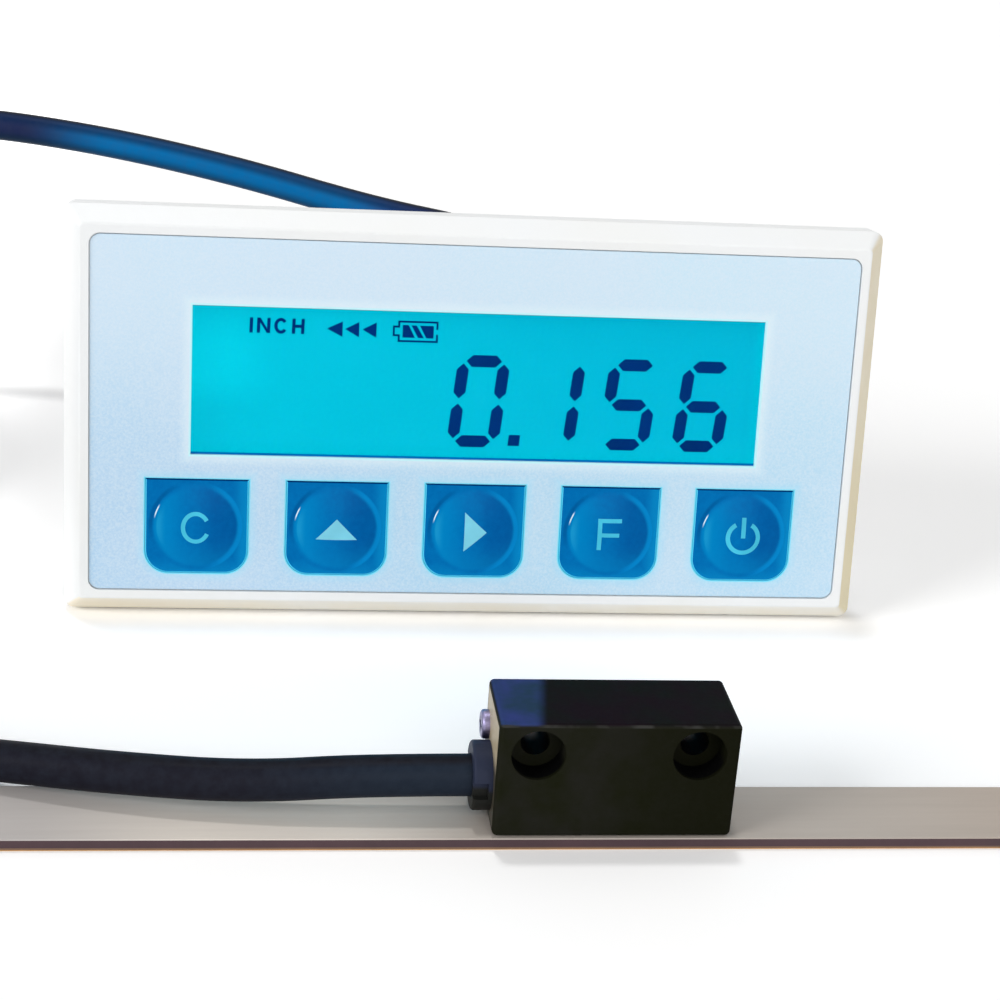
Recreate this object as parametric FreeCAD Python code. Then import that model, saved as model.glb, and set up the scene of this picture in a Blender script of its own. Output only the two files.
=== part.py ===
import FreeCAD, Part
import math
import os

from FreeCAD import Placement, Rotation, Vector

# A magnetic linear encoder: a panel display that stands on its front lip, a read head on a magnetic scale,
# and the cable between them. Millimetres. +X runs along the scale, +Y to the back, +Z up. The origin is at
# the middle of the footprint, on the surface that everything stands on.

os.makedirs("parts", exist_ok=True)

# Magnetic scale
scale_length = 200.0
scale_width = 10.0
adhesive_thickness = 0.1
carrier_thickness = 0.2
magnet_thickness = 0.85
cover_thickness = 0.15

# Read head
head_width = 24.0
head_depth = 10.0
head_height = 12.5
head_x = 9.4
head_edge_radius = 0.5
sensing_gap = 0.15
bolt_spacing = 16.0
bolt_hole_radius = 1.45
bolt_height = 9.15
counterbore_radius = 2.7
counterbore_depth = 2.8
head_axis_height = 4.15
head_floor = 1.0
end_plate_thickness = 0.8
end_plate_rim = 0.6
end_plate_clearance = 0.05
end_screw_height = 8.2
end_screw_back = 3.1
end_screw_head_radius = 1.5
end_screw_head = 0.8
end_screw_round = 0.35
end_screw_radius = 0.8
end_screw_length = 2.0
end_recess_length = 1.9
end_recess_width = 0.4
end_recess_depth = 0.45
head_gland_radius = 3.5
head_gland_length = 1.9
head_gland_round = 0.3
gland_notch_half_height = 0.9
gland_notch_depth = 0.8
gland_notch_floor = 0.4
head_sleeve_radius = 2.55
head_sleeve_reach = 2.0
sleeve_clearance = 0.05
head_pocket_length = 17.0
head_pocket_width = 6.4
head_pocket_height = 4.9
wires_length = 1.0
wires_radius = 1.1
sensor_chip = (5.0, 4.0, 0.5)
sensor_chip_inset = 4.0
sensor_board = (14.0, 5.6, 1.0)
head_connector = (3.4, 3.4, 3.0)

# Display, front
face_width = 96.0
face_height = 48.0
face_corner = 1.2
bevel_width = 1.9
bevel_rise = 2.6
flange_depth = 6.0
ridge_radius = 0.35
sheet_margin = 3.1
sheet_corner = 1.3
sheet_thickness = 0.4
sheet_setback = 0.2
sheet_clearance = 0.15
plate_thickness = 1.8
window_x = 0.3
window_side_margin = 11.25
window_above = 7.8
window_to_keys = 3.1
lens_margin = 2.0
lens_lip = 1.0
lens_thickness = 1.2
lcd_side_margin = 3.85
lcd_high_margin = 2.1
lcd_glass = 1.1
backlight_thickness = 2.6

# Display, keys and board
key_names = ("clear", "up", "right", "function", "power")
key_row_margin = 6.25
key_spacing = 4.7
key_height = 11.1
key_above_edge = 2.2
key_corner = 2.6
key_gap = 0.2
key_travel = 0.4
key_flange = 0.45
key_flange_thickness = 0.55
key_running_gap = 0.05
dome_margin = 0.9
dome_rise = 0.8
dome_root = 0.2
stem_radius = 2.0
plunger_radius = 1.7
plunger_reach = 2.6
plunger_clearance = 0.05
plunger_stand_out = 0.45
plunger_end_play = 0.1
switch_side = 6.0
switch_height = 3.1
board_side_gap = 4.45
board_high_gap = 0.4
board_corner = 1.0
board_thickness = 1.6
board_post_radius = 1.6
board_post_from_wall = 1.9
board_screw_radius = 0.8
board_screw_length = 3.0
board_screw_head_radius = 1.4
board_screw_head = 0.55
screw_play = 0.05
screw_end_play = 0.2
screw_head_play = 0.15
recess_length = 2.4
recess_width = 0.5
recess_depth = 0.6
connector_size = (5.0, 5.0, 6.0)

# Display, rear case and battery
case_side_lip = 2.25
case_high_lip = 2.4
case_wall = 1.8
case_corner = 1.5
cavity_corner = 0.8
display_depth = 23.1
rear_wall = 2.0
gasket_thickness = 0.8
gasket_edge = 0.6
gasket_clearance = 0.1
corner_post_side = 4.0
corner_post_root = 0.5
corner_screw_inset = 1.8
case_screw_radius = 1.1
case_screw_head_radius = 2.0
case_screw_head = 1.6
case_screw_recess = 0.2
case_screw_into_front = 2.6
cell_length = 43.7
cell_nub_radius = 1.9
cell_nub = 0.8
cell_play = 0.15
contact_thickness = 0.3
contact_play = 0.3
spring_length = 2.0
spring_radius = 2.6
spring_tip_radius = 1.4
bay_from_wall = 4.6
bay_to_board = 0.9
bay_wall = 1.5
bay_floor = 1.0
door_thickness = 1.6
door_gap = 0.15
door_tongue = 1.1
door_tongue_root = 1.0
door_tongue_thickness = 0.8
door_tongue_width = 10.0
door_tongue_play = 0.05
door_tab_width = 8.0
door_tab_length = 5.2
door_tab_from_edge = 0.3
door_screw_radius = 1.1
door_screw_head_radius = 2.0
door_screw_head = 0.9
door_screw_recess = 0.1
door_screw_length = 5.7
door_boss_radius = 2.8
door_boss_floor = 1.0
rib_count = 4
rib_from_end = 3.0
rib_pitch = 1.6
rib_width = 0.7
rib_depth = 0.4
rib_height = 12.0

# Cable and its strain relief
cable_radius = 2.15
cable_play = 0.05
relief_from_tab = 0.85
relief_z = 10.0
relief_flange_radius = 5.2
relief_inner_flange = 1.2
relief_outer_flange = 1.5
relief_neck_radius = 3.9
relief_root_radius = 3.6
relief_tip_radius = 2.75
relief_length = 12.0
groove_count = 3
first_groove = 2.2
groove_pitch = 3.1
groove_width = 1.0
groove_wall = 0.4
straight_after_relief = 8.0
straight_before_head = 11.5
bend_share = 0.45

# Where the display stands
display_x = 0.0
display_base_y = 53.2

# Coil of the spare cable
coil_x = -95.0
coil_y = 96.0
coil_mean_radius = 23.5
tie_thickness = 0.5
tie_width = 6.0
tie_angle = 300.0

# How far a cut runs past the surface that it opens
overcut = 1.0

# Sizes that follow
scale_thickness = adhesive_thickness + carrier_thickness + magnet_thickness + cover_thickness
head_base = scale_thickness + sensing_gap
head_left = head_x - head_width / 2
head_middle = head_depth / 2
sheet_width = face_width - 2 * sheet_margin
sheet_height = face_height - 2 * sheet_margin
window_width = sheet_width - 2 * window_side_margin
window_height = sheet_height - window_above - window_to_keys - key_height - key_above_edge
window_z = sheet_height / 2 - window_above - window_height / 2
lens_width = window_width + 2 * lens_margin
lens_height = window_height + 2 * lens_margin
lcd_width = window_width + 2 * lcd_side_margin
lcd_height = window_height + 2 * lcd_high_margin
key_gaps = len(key_names) - 1
key_width = (sheet_width - 2 * key_row_margin - key_gaps * key_spacing) / len(key_names)
key_pitch = key_width + key_spacing
first_key_x = window_x - key_gaps * key_pitch / 2
key_z = -sheet_height / 2 + key_above_edge + key_height / 2
dome_radius = key_width / 2 - dome_margin
case_width = face_width - 2 * case_side_lip
case_height = face_height - 2 * case_high_lip
cavity_width = case_width - 2 * case_wall
cavity_height = case_height - 2 * case_wall
board_width = cavity_width - 2 * board_side_gap
board_height = cavity_height - 2 * board_high_gap
board_post_high = cavity_height / 2 - board_post_from_wall
plate_front = sheet_setback + sheet_thickness
plate_back = plate_front + plate_thickness
lcd_back = plate_back + 2 * lcd_glass
board_front = lcd_back + backlight_thickness
board_back = board_front + board_thickness
plunger_front = board_front - switch_height - plunger_stand_out
case_inside = display_depth - rear_wall
door_front = display_depth - door_thickness
bay_floor_front = board_back + bay_to_board
bay_floor_back = bay_floor_front + bay_floor
cell_radius = (door_front - bay_floor_back) / 2 - cell_play
cell_y = door_front - cell_play - cell_radius
bay_left = -cavity_width / 2 + bay_from_wall
bay_right = bay_left + 2 * contact_thickness + cell_length + cell_nub + spring_length
bay_half_height = 2 * cell_radius + 2 * cell_play
door_tab_z = door_tab_from_edge + door_tab_width / 2 - bay_half_height
door_screw_x = bay_right + bay_wall + door_tab_length / 2
relief_x = bay_right + bay_wall + door_tab_length + relief_from_tab + relief_flange_radius
relief_foot_y = display_depth + relief_outer_flange
relief_tip_y = relief_foot_y + relief_length
lean = math.atan(case_high_lip / (display_depth - flange_depth))
display_height = flange_depth * math.sin(lean) + face_height / 2 * math.cos(lean)
head_front_y = -(display_base_y + (relief_tip_y - bevel_rise) * math.cos(lean)
                 + (face_height / 2 + relief_z + relief_tip_radius) * math.sin(lean)) / 2
display_y = (head_front_y + display_base_y - bevel_rise * math.cos(lean)
             + face_height / 2 * math.sin(lean))
face_place = Placement(Vector(display_x, display_y, display_height),
                       Rotation(Vector(1, 0, 0), -math.degrees(lean)))


def save(name, shape):
    """Writes one sub-part."""
    shape.exportStep(os.path.join("parts", name + ".step"))


def on_display(shape):
    """Moves a shape from the display's own frame: x right, y back from its ridge, z up from its centre."""
    placed = shape.copy()
    placed.Placement = face_place.multiply(placed.Placement)
    return placed


def display_point(x, y, z):
    """Place of a point of the display's own frame."""
    return face_place.multVec(Vector(x, y, z))


def block(x0, x1, y0, y1, z0, z1):
    return Part.makeBox(x1 - x0, y1 - y0, z1 - z0, Vector(x0, y0, z0))


def rod(radius, y0, y1, x, z):
    """A round bar along y."""
    return Part.makeCylinder(radius, y1 - y0, Vector(x, y0, z), Vector(0, 1, 0))


def taper(radius0, radius1, y0, y1, x, z):
    """A round taper along y."""
    return Part.makeCone(radius0, radius1, y1 - y0, Vector(x, y0, z), Vector(0, 1, 0))


def outline(x0, x1, z0, z1, y, low_radius, high_radius):
    """A closed rectangle at one depth, with its lower and upper corners rounded."""
    corners = ((x0, z0, low_radius), (x1, z0, low_radius), (x1, z1, high_radius), (x0, z1, high_radius))
    ways = ((1, 0), (0, 1), (-1, 0), (0, -1))
    starts, arcs, ends = [], [], []
    for i, (x, z, radius) in enumerate(corners):
        (ax, az), (bx, bz) = ways[i - 1], ways[i]
        near = radius * (1 - math.sqrt(0.5))
        starts.append(Vector(x - radius * ax, y, z - radius * az))
        ends.append(Vector(x + radius * bx, y, z + radius * bz))
        arcs.append(Vector(x + near * (bx - ax), y, z + near * (bz - az)))
    edges = []
    for i in range(4):
        if corners[i][2] > 0:
            edges.append(Part.Arc(starts[i], arcs[i], ends[i]).toShape())
        edges.append(Part.LineSegment(ends[i], starts[(i + 1) % 4]).toShape())
    return Part.Wire(edges)


def slab(x0, x1, z0, z1, y0, y1, low_radius=0.0, high_radius=None):
    """A plate across the display with rounded corners."""
    high = low_radius if high_radius is None else high_radius
    face = Part.Face(outline(x0, x1, z0, z1, y0, low_radius, high))
    return face.extrude(Vector(0, y1 - y0, 0))


def centred_slab(width, height, corner, y0, y1, x=0.0, z=0.0):
    return slab(x - width / 2, x + width / 2, z - height / 2, z + height / 2, y0, y1, corner)


def key_slab(x, grow, y0, y1):
    """The keys' outline, square above and round below, grown all round."""
    half = key_width / 2 + grow
    high = key_z + key_height / 2 + grow
    return slab(x - half, x + half, high - key_height - 2 * grow, high, y0, y1, key_corner + grow, 0.0)


def key_places():
    return [first_key_x + i * key_pitch for i in range(len(key_names))]


def board_post_places():
    """Two posts between the outer keys and two above the window."""
    keys = key_places()
    low = [((keys[0] + keys[1]) / 2, key_z), ((keys[-2] + keys[-1]) / 2, key_z)]
    return low + [(x, board_post_high) for x, _ in low]


def corner_places():
    x, z = cavity_width / 2 - corner_screw_inset, cavity_height / 2 - corner_screw_inset
    return [(sx * x, sz * z) for sx in (-1, 1) for sz in (-1, 1)]


def corner_post(x, z, y0, y1):
    """A square post that joins the walls at a corner of the case."""
    spans = []
    for at, wall in ((x, cavity_width / 2), (z, cavity_height / 2)):
        ends = (wall - corner_post_side, wall + corner_post_root)
        spans += sorted(math.copysign(end, at) for end in ends)
    return block(spans[0], spans[1], y0, y1, spans[2], spans[3])


def cross_recess(x, z, back, depth):
    """The cut of a cross-head screw whose head faces back."""
    long, thin = recess_length / 2, recess_width / 2
    flat = block(x - long, x + long, back - depth, back + overcut, z - thin, z + thin)
    return flat.fuse(block(x - thin, x + thin, back - depth, back + overcut, z - long, z + long))


def front_bezel():
    """Bevelled frame with a ridge, a recess for the face sheet and a plate for lens, keys and board."""
    outer = outline(-face_width / 2, face_width / 2, -face_height / 2, face_height / 2, bevel_rise,
                    face_corner, face_corner)
    half_w, half_h = face_width / 2 - bevel_width, face_height / 2 - bevel_width
    inner = outline(-half_w, half_w, -half_h, half_h, 0, face_corner / 2, face_corner / 2)
    frame = Part.makeLoft([outer, inner], True, True)
    ridge = [e for e in frame.Edges if all(abs(v.Point.y) < 0.001 for v in e.Vertexes)]
    frame = frame.makeFillet(ridge_radius, ridge)
    frame = frame.fuse(centred_slab(face_width, face_height, face_corner, bevel_rise, flange_depth))
    screw_floor = flange_depth - case_screw_into_front - screw_end_play
    board_screw_floor = board_back - board_screw_length - screw_end_play
    frame = frame.cut(centred_slab(sheet_width + 2 * sheet_clearance, sheet_height + 2 * sheet_clearance,
                                   sheet_corner, -overcut, plate_front))
    frame = frame.cut(centred_slab(cavity_width, cavity_height, cavity_corner, plate_back,
                                   flange_depth + overcut))
    frame = frame.cut(centred_slab(lens_width + 2 * sheet_clearance, lens_height + 2 * sheet_clearance, 0,
                                   plate_front, plate_front + lens_thickness, window_x, window_z))
    frame = frame.cut(centred_slab(lens_width - 2 * lens_lip, lens_height - 2 * lens_lip, 0, plate_front,
                                   plate_back + overcut, window_x, window_z))
    for x in key_places():
        frame = frame.cut(key_slab(x, key_gap, plate_front - sheet_thickness, plate_back + overcut))
    for x, z in corner_places():
        frame = frame.fuse(corner_post(x, z, plate_back, flange_depth))
        frame = frame.cut(rod(case_screw_radius + screw_play, screw_floor, flange_depth + overcut, x, z))
    for x, z in board_post_places():
        frame = frame.fuse(rod(board_post_radius, plate_back, board_front, x, z))
        frame = frame.cut(rod(board_screw_radius + screw_play, board_screw_floor, board_front + overcut,
                              x, z))
    return frame.removeSplitter()


def face_sheet():
    """Printed sheet with the window and the keys cut out."""
    sheet = centred_slab(sheet_width, sheet_height, sheet_corner - sheet_clearance,
                         sheet_setback, plate_front)
    sheet = sheet.cut(centred_slab(window_width, window_height, 0, -overcut, plate_front + overcut,
                                   window_x, window_z))
    for x in key_places():
        sheet = sheet.cut(key_slab(x, key_gap, -overcut, plate_front + overcut))
    return sheet


def window_lens():
    return centred_slab(lens_width, lens_height, 0, plate_front, plate_front + lens_thickness,
                        window_x, window_z)


def lcd_sheet(y0, y1):
    return centred_slab(lcd_width, lcd_height, 0, y0, y1, window_x, window_z)


def key_cap(x):
    """Cap with a raised round dome, a flange behind the plate and a stem to its switch."""
    front, back = sheet_setback, plate_back + key_running_gap
    cap = key_slab(x, 0, front, back)
    ball_radius = (dome_radius ** 2 + dome_rise ** 2) / (2 * dome_rise)
    ball = Part.makeSphere(ball_radius, Vector(x, front - dome_rise + ball_radius, key_z))
    dome = ball.common(rod(dome_radius + overcut, front - dome_rise - overcut, front + dome_root, x, key_z))
    flange = key_slab(x, key_flange, back, back + key_flange_thickness)
    stem = rod(stem_radius, back + key_flange_thickness, plunger_front, x, key_z)
    return cap.fuse([dome, flange, stem]).removeSplitter()


def key_switch(x):
    """Switch on the board, with the blind bore that its plunger slides in."""
    half = switch_side / 2
    body = block(x - half, x + half, board_front - switch_height, board_front, key_z - half, key_z + half)
    depth = plunger_reach - plunger_stand_out + key_travel + plunger_end_play
    front = board_front - switch_height
    return body.cut(rod(plunger_radius + plunger_clearance, front, front + depth, x, key_z))


def switch_plunger(x):
    return rod(plunger_radius, plunger_front, plunger_front + plunger_reach, x, key_z)


def main_board():
    board = centred_slab(board_width, board_height, board_corner, board_front, board_back)
    for x, z in board_post_places():
        board = board.cut(rod(board_screw_radius + screw_play, board_front - overcut, board_back + overcut,
                              x, z))
    return board


def board_screws():
    screws = []
    for x, z in board_post_places():
        shank = rod(board_screw_radius, board_back - board_screw_length, board_back, x, z)
        head = rod(board_screw_head_radius, board_back, board_back + board_screw_head, x, z)
        screws.append(shank.fuse(head))
    return Part.makeCompound(screws)


def board_connector():
    length, height, reach = connector_size
    return block(relief_x - length / 2, relief_x + length / 2, board_back, board_back + reach,
                 relief_z - height / 2, relief_z + height / 2)


def battery_bay():
    """Outer walls of the bay and the room inside it."""
    walls = block(bay_left - bay_wall, bay_right + bay_wall, bay_floor_front, display_depth,
                  -bay_half_height - bay_wall, bay_half_height + bay_wall)
    room = block(bay_left, bay_right, bay_floor_back, display_depth + overcut,
                 -bay_half_height, bay_half_height)
    return walls, room


def door_outline(grow, y0, y1):
    """The battery door with its screw tab, grown all round."""
    edge = bay_wall - door_gap + grow
    door = block(bay_left - edge, bay_right + edge, y0, y1, -bay_half_height - edge, bay_half_height + edge)
    tab = block(bay_right, bay_right + edge + door_tab_length, y0, y1, door_tab_z - door_tab_width / 2 - grow,
                door_tab_z + door_tab_width / 2 + grow)
    return door.fuse(tab).removeSplitter()


def rear_case():
    """Hollow case with a battery bay, a boss for the door's screw and corner posts for the case screws."""
    case = centred_slab(case_width, case_height, case_corner, flange_depth, display_depth)
    case = case.cut(centred_slab(cavity_width, cavity_height, cavity_corner, flange_depth, case_inside))
    walls, room = battery_bay()
    door_screw_floor = door_front - door_screw_length - screw_end_play
    head_seat = display_depth - case_screw_head - case_screw_recess
    boss = rod(door_boss_radius, door_screw_floor - door_boss_floor, display_depth, door_screw_x, door_tab_z)
    case = case.fuse([walls, boss])
    case = case.fuse([corner_post(x, z, flange_depth, case_inside) for x, z in corner_places()])
    case = case.cut(room)
    case = case.cut(door_outline(door_gap, door_front, display_depth + overcut))
    case = case.cut(block(bay_left - bay_wall - door_tongue, bay_left, door_front,
                          door_front + door_tongue_thickness + 2 * door_tongue_play,
                          -door_tongue_width / 2 - door_gap, door_tongue_width / 2 + door_gap))
    case = case.cut(rod(door_screw_radius + screw_play, door_screw_floor, display_depth,
                        door_screw_x, door_tab_z))
    for x, z in corner_places():
        case = case.cut(rod(case_screw_radius + screw_play, flange_depth - overcut, display_depth, x, z))
        case = case.cut(rod(case_screw_head_radius + screw_head_play, head_seat, display_depth + overcut,
                            x, z))
    case = case.cut(rod(relief_neck_radius, case_inside - overcut, display_depth + overcut,
                        relief_x, relief_z))
    return case.removeSplitter()


def case_gasket():
    """Soft ring behind the flange, round the case."""
    outer = centred_slab(face_width - 2 * gasket_edge, face_height - 2 * gasket_edge, face_corner / 2,
                         flange_depth, flange_depth + gasket_thickness)
    return outer.cut(centred_slab(case_width + 2 * gasket_clearance, case_height + 2 * gasket_clearance,
                                  case_corner, flange_depth - overcut,
                                  flange_depth + gasket_thickness + overcut))


def case_screws():
    back = display_depth - case_screw_recess
    screws = []
    for x, z in corner_places():
        head = rod(case_screw_head_radius, back - case_screw_head, back, x, z)
        shank = rod(case_screw_radius, flange_depth - case_screw_into_front, back - case_screw_head, x, z)
        screws.append(head.fuse(shank).cut(cross_recess(x, z, back, recess_depth)))
    return Part.makeCompound(screws)


def cell(side):
    """One battery cell; side is 1 for the upper one, whose nub points right."""
    z = side * (cell_radius + cell_play)
    ways = Vector(side, 0, 0)
    foot = bay_left if side > 0 else bay_right
    start = foot + side * (contact_thickness + spring_length)
    body = Part.makeCylinder(cell_radius, cell_length, Vector(start, cell_y, z), ways)
    nub = Part.makeCylinder(cell_nub_radius, cell_nub, Vector(start + side * cell_length, cell_y, z), ways)
    return body.fuse(nub)


def battery_contacts():
    """A plate at each end of the bay, each with the spring of one cell."""
    height = bay_half_height - contact_play
    made = []
    for side, x in ((1, bay_left), (-1, bay_right - contact_thickness)):
        plate = block(x, x + contact_thickness, bay_floor_back, door_front - contact_play, -height, height)
        foot = x + contact_thickness if side > 0 else x
        spring = Part.makeCone(spring_radius, spring_tip_radius, spring_length,
                               Vector(foot, cell_y, side * (cell_radius + cell_play)), Vector(side, 0, 0))
        made.append(plate.fuse(spring))
    return Part.makeCompound(made)


def battery_door():
    """Door with a tongue at its left end, finger ribs and a screw tab."""
    door = door_outline(0, door_front, display_depth)
    left = bay_left - bay_wall + door_gap
    tongue_front = door_front + door_tongue_play
    tongue = block(left - door_tongue, left + door_tongue_root, tongue_front,
                   tongue_front + door_tongue_thickness, -door_tongue_width / 2, door_tongue_width / 2)
    door = door.fuse(tongue)
    for i in range(rib_count):
        x = bay_left + rib_from_end + rib_pitch * i
        door = door.cut(block(x, x + rib_width, display_depth - rib_depth, display_depth + overcut,
                              -rib_height / 2, rib_height / 2))
    door = door.cut(rod(door_screw_radius + screw_head_play, door_front - overcut, display_depth + overcut,
                        door_screw_x, door_tab_z))
    seat = rod(door_screw_head_radius + screw_head_play, display_depth - door_screw_head,
               display_depth + overcut, door_screw_x, door_tab_z)
    return door.cut(seat).removeSplitter()


def door_screw():
    x, z = door_screw_x, door_tab_z
    back = display_depth - door_screw_recess
    head = rod(door_screw_head_radius, display_depth - door_screw_head, back, x, z)
    shank = rod(door_screw_radius, door_front - door_screw_length, display_depth - door_screw_head, x, z)
    return head.fuse(shank).cut(cross_recess(x, z, back, recess_depth - door_screw_recess))


def strain_relief():
    """Soft boot through the rear wall, with grooves round its taper."""
    x, z = relief_x, relief_z
    boot = rod(relief_flange_radius, case_inside - relief_inner_flange, case_inside, x, z)
    boot = boot.fuse(rod(relief_neck_radius, case_inside, display_depth, x, z))
    boot = boot.fuse(rod(relief_flange_radius, display_depth, relief_foot_y, x, z))
    boot = boot.fuse(taper(relief_root_radius, relief_tip_radius, relief_foot_y, relief_tip_y, x, z))
    for i in range(groove_count):
        y = relief_foot_y + first_groove + groove_pitch * i
        ring = rod(relief_root_radius + overcut, y, y + groove_width, x, z)
        boot = boot.cut(ring.cut(rod(cable_radius + cable_play + groove_wall, y, y + groove_width, x, z)))
    return boot.cut(rod(cable_radius + cable_play, case_inside - relief_inner_flange - overcut,
                        relief_tip_y + overcut, x, z))


def along_x(radius, x0, x1, height, back=None):
    """A round bar along x in the read head, at a height above its base."""
    y = head_front_y + (head_middle if back is None else back)
    return Part.makeCylinder(radius, x1 - x0, Vector(x0, y, head_base + height), Vector(1, 0, 0))


def head_block(x0, x1, y0, y1, z0, z1):
    """A block in the read head, from its left end, its front face and its base."""
    return block(head_left + x0, head_left + x1, head_front_y + y0, head_front_y + y1,
                 head_base + z0, head_base + z1)


def bolt_places():
    return [head_x - bolt_spacing / 2, head_x + bolt_spacing / 2]


def head_housing():
    """Solid block with two counterbored bolt holes and a pocket that opens at its left end."""
    housing = head_block(0, head_width, 0, head_depth, 0, head_height)
    housing = housing.makeFillet(head_edge_radius, housing.Edges)
    front, z = head_front_y - overcut, head_base + bolt_height
    for x in bolt_places():
        housing = housing.cut(rod(bolt_hole_radius, front, head_front_y + head_depth + overcut, x, z))
        housing = housing.cut(rod(counterbore_radius, front, head_front_y + counterbore_depth, x, z))
    housing = housing.cut(head_block(-overcut, end_plate_thickness, end_plate_rim, head_depth - end_plate_rim,
                                     end_plate_rim, head_height - end_plate_rim))
    half = head_pocket_width / 2
    housing = housing.cut(head_block(head_sleeve_reach, head_sleeve_reach + head_pocket_length,
                                     head_middle - half, head_middle + half,
                                     head_floor, head_floor + head_pocket_height))
    housing = housing.cut(along_x(head_sleeve_radius + sleeve_clearance, head_left,
                                  head_left + head_sleeve_reach, head_axis_height))
    return housing.cut(along_x(end_screw_radius + screw_play, head_left, end_screw_tip() + screw_end_play,
                               end_screw_height, head_middle + end_screw_back))


def end_screw_tip():
    return head_left + end_plate_thickness + end_screw_length - end_screw_head


def head_end_plate():
    """Thin plate let into the left end, with a hole for the gland and one for its screw."""
    rim = end_plate_rim + end_plate_clearance
    plate = head_block(0, end_plate_thickness, rim, head_depth - rim, rim, head_height - rim)
    left, right = head_left - overcut, head_left + end_plate_thickness + overcut
    plate = plate.cut(along_x(head_sleeve_radius + sleeve_clearance, left, right, head_axis_height))
    return plate.cut(along_x(end_screw_radius + screw_play, left, right, end_screw_height,
                             head_middle + end_screw_back))


def rounded_rim(shape, x, radius):
    """Rounds the rim of a round piece at one place along x."""
    return shape.makeFillet(radius, [e for e in shape.Edges if abs(e.CenterOfMass.x - x) < 0.01])


def head_end_screw():
    y, z = head_front_y + head_middle + end_screw_back, head_base + end_screw_height
    front = head_left - end_screw_head
    back = head_middle + end_screw_back
    head = along_x(end_screw_head_radius, front, head_left, end_screw_height, back)
    head = rounded_rim(head, front, end_screw_round)
    shank = along_x(end_screw_radius, head_left, end_screw_tip(), end_screw_height, back)
    long, thin = end_recess_length / 2, end_recess_width / 2
    floor = front + end_recess_depth
    flat = block(front - overcut, floor, y - long, y + long, z - thin, z + thin)
    cross = block(front - overcut, floor, y - thin, y + thin, z - long, z + long)
    return head.fuse(shank).cut(flat.fuse(cross))


def head_gland():
    """Round collar outside the end plate with two notches, and the sleeve that grips the cable inside."""
    left, right = head_left - head_gland_length, head_left + head_sleeve_reach
    collar = along_x(head_gland_radius, left, head_left, head_axis_height)
    collar = rounded_rim(collar, left, head_gland_round)
    for side in (-1, 1):
        y = head_middle + side * head_gland_radius
        collar = collar.cut(head_block(-head_gland_length - overcut, -gland_notch_floor,
                                       y - gland_notch_depth, y + gland_notch_depth,
                                       head_axis_height - gland_notch_half_height,
                                       head_axis_height + gland_notch_half_height))
    collar = collar.fuse(along_x(head_sleeve_radius, head_left, right, head_axis_height))
    return collar.cut(along_x(cable_radius + cable_play, left - overcut, right + overcut, head_axis_height))


def head_insides():
    """Sensor chip on the pocket's floor, the board on it, and the connector of the wires."""
    start = head_sleeve_reach + wires_length
    board_z = head_floor + sensor_chip[2]
    top = board_z + sensor_board[2]
    wires = along_x(wires_radius, head_left + head_sleeve_reach, head_left + start, head_axis_height)

    def inner(x, z, size):
        length, width, height = size
        return head_block(x, x + length, head_middle - width / 2, head_middle + width / 2, z, z + height)

    return {
        "sensor_chip": inner(start + sensor_chip_inset, head_floor, sensor_chip),
        "sensor_board": inner(start, board_z, sensor_board),
        "sensor_connector": inner(start, top, head_connector),
        "sensor_wires": wires,
    }


def scale_layer(z0, z1):
    """One layer of the magnetic scale."""
    return block(-scale_length / 2, scale_length / 2, head_front_y, head_front_y + scale_width, z0, z1)


def scale_layers():
    layers = (("scale_adhesive", adhesive_thickness), ("scale_carrier", carrier_thickness),
              ("scale_magnet", magnet_thickness), ("scale_cover", cover_thickness))
    made, z = {}, 0.0
    for name, thickness in layers:
        made[name] = scale_layer(z, z + thickness)
        z += thickness
    return made


def round_bundle(grow):
    """Outer line of five turns, three below and two above, as high above the floor as the tie is thick."""
    pitch = 2 * cable_radius
    low = tie_thickness + cable_radius
    high = low + pitch * math.sqrt(0.75)
    radius = cable_radius + grow
    centres = [(pitch, low, -90, 30), (pitch / 2, high, 30, 90), (-pitch / 2, high, 90, 150),
               (-pitch, low, 150, 270)]
    arcs = []
    for x, z, first, last in centres:
        points = []
        for angle in (first, (first + last) / 2, last):
            a = math.radians(angle)
            points.append(Vector(coil_mean_radius + x + radius * math.cos(a), 0, z + radius * math.sin(a)))
        arcs.append((points, Part.Arc(*points).toShape()))
    edges = []
    for i, (points, arc) in enumerate(arcs):
        after = arcs[(i + 1) % len(arcs)][0][0]
        edges += [arc, Part.LineSegment(points[-1], after).toShape()]
    return Part.Face(Part.Wire(edges))


def cable_coil():
    ring = round_bundle(0).revolve(Vector(0, 0, 0), Vector(0, 0, 1), 360)
    return ring.translated(Vector(coil_x, coil_y + head_front_y, 0))


def coil_tie():
    """Strap round the bundle of turns."""
    angle = math.degrees(tie_width / coil_mean_radius)
    strap = round_bundle(tie_thickness).cut(round_bundle(0))
    strap = strap.revolve(Vector(0, 0, 0), Vector(0, 0, 1), angle)
    strap.rotate(Vector(0, 0, 0), Vector(0, 0, 1), tie_angle)
    return strap.translated(Vector(coil_x, coil_y + head_front_y, 0))


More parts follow.
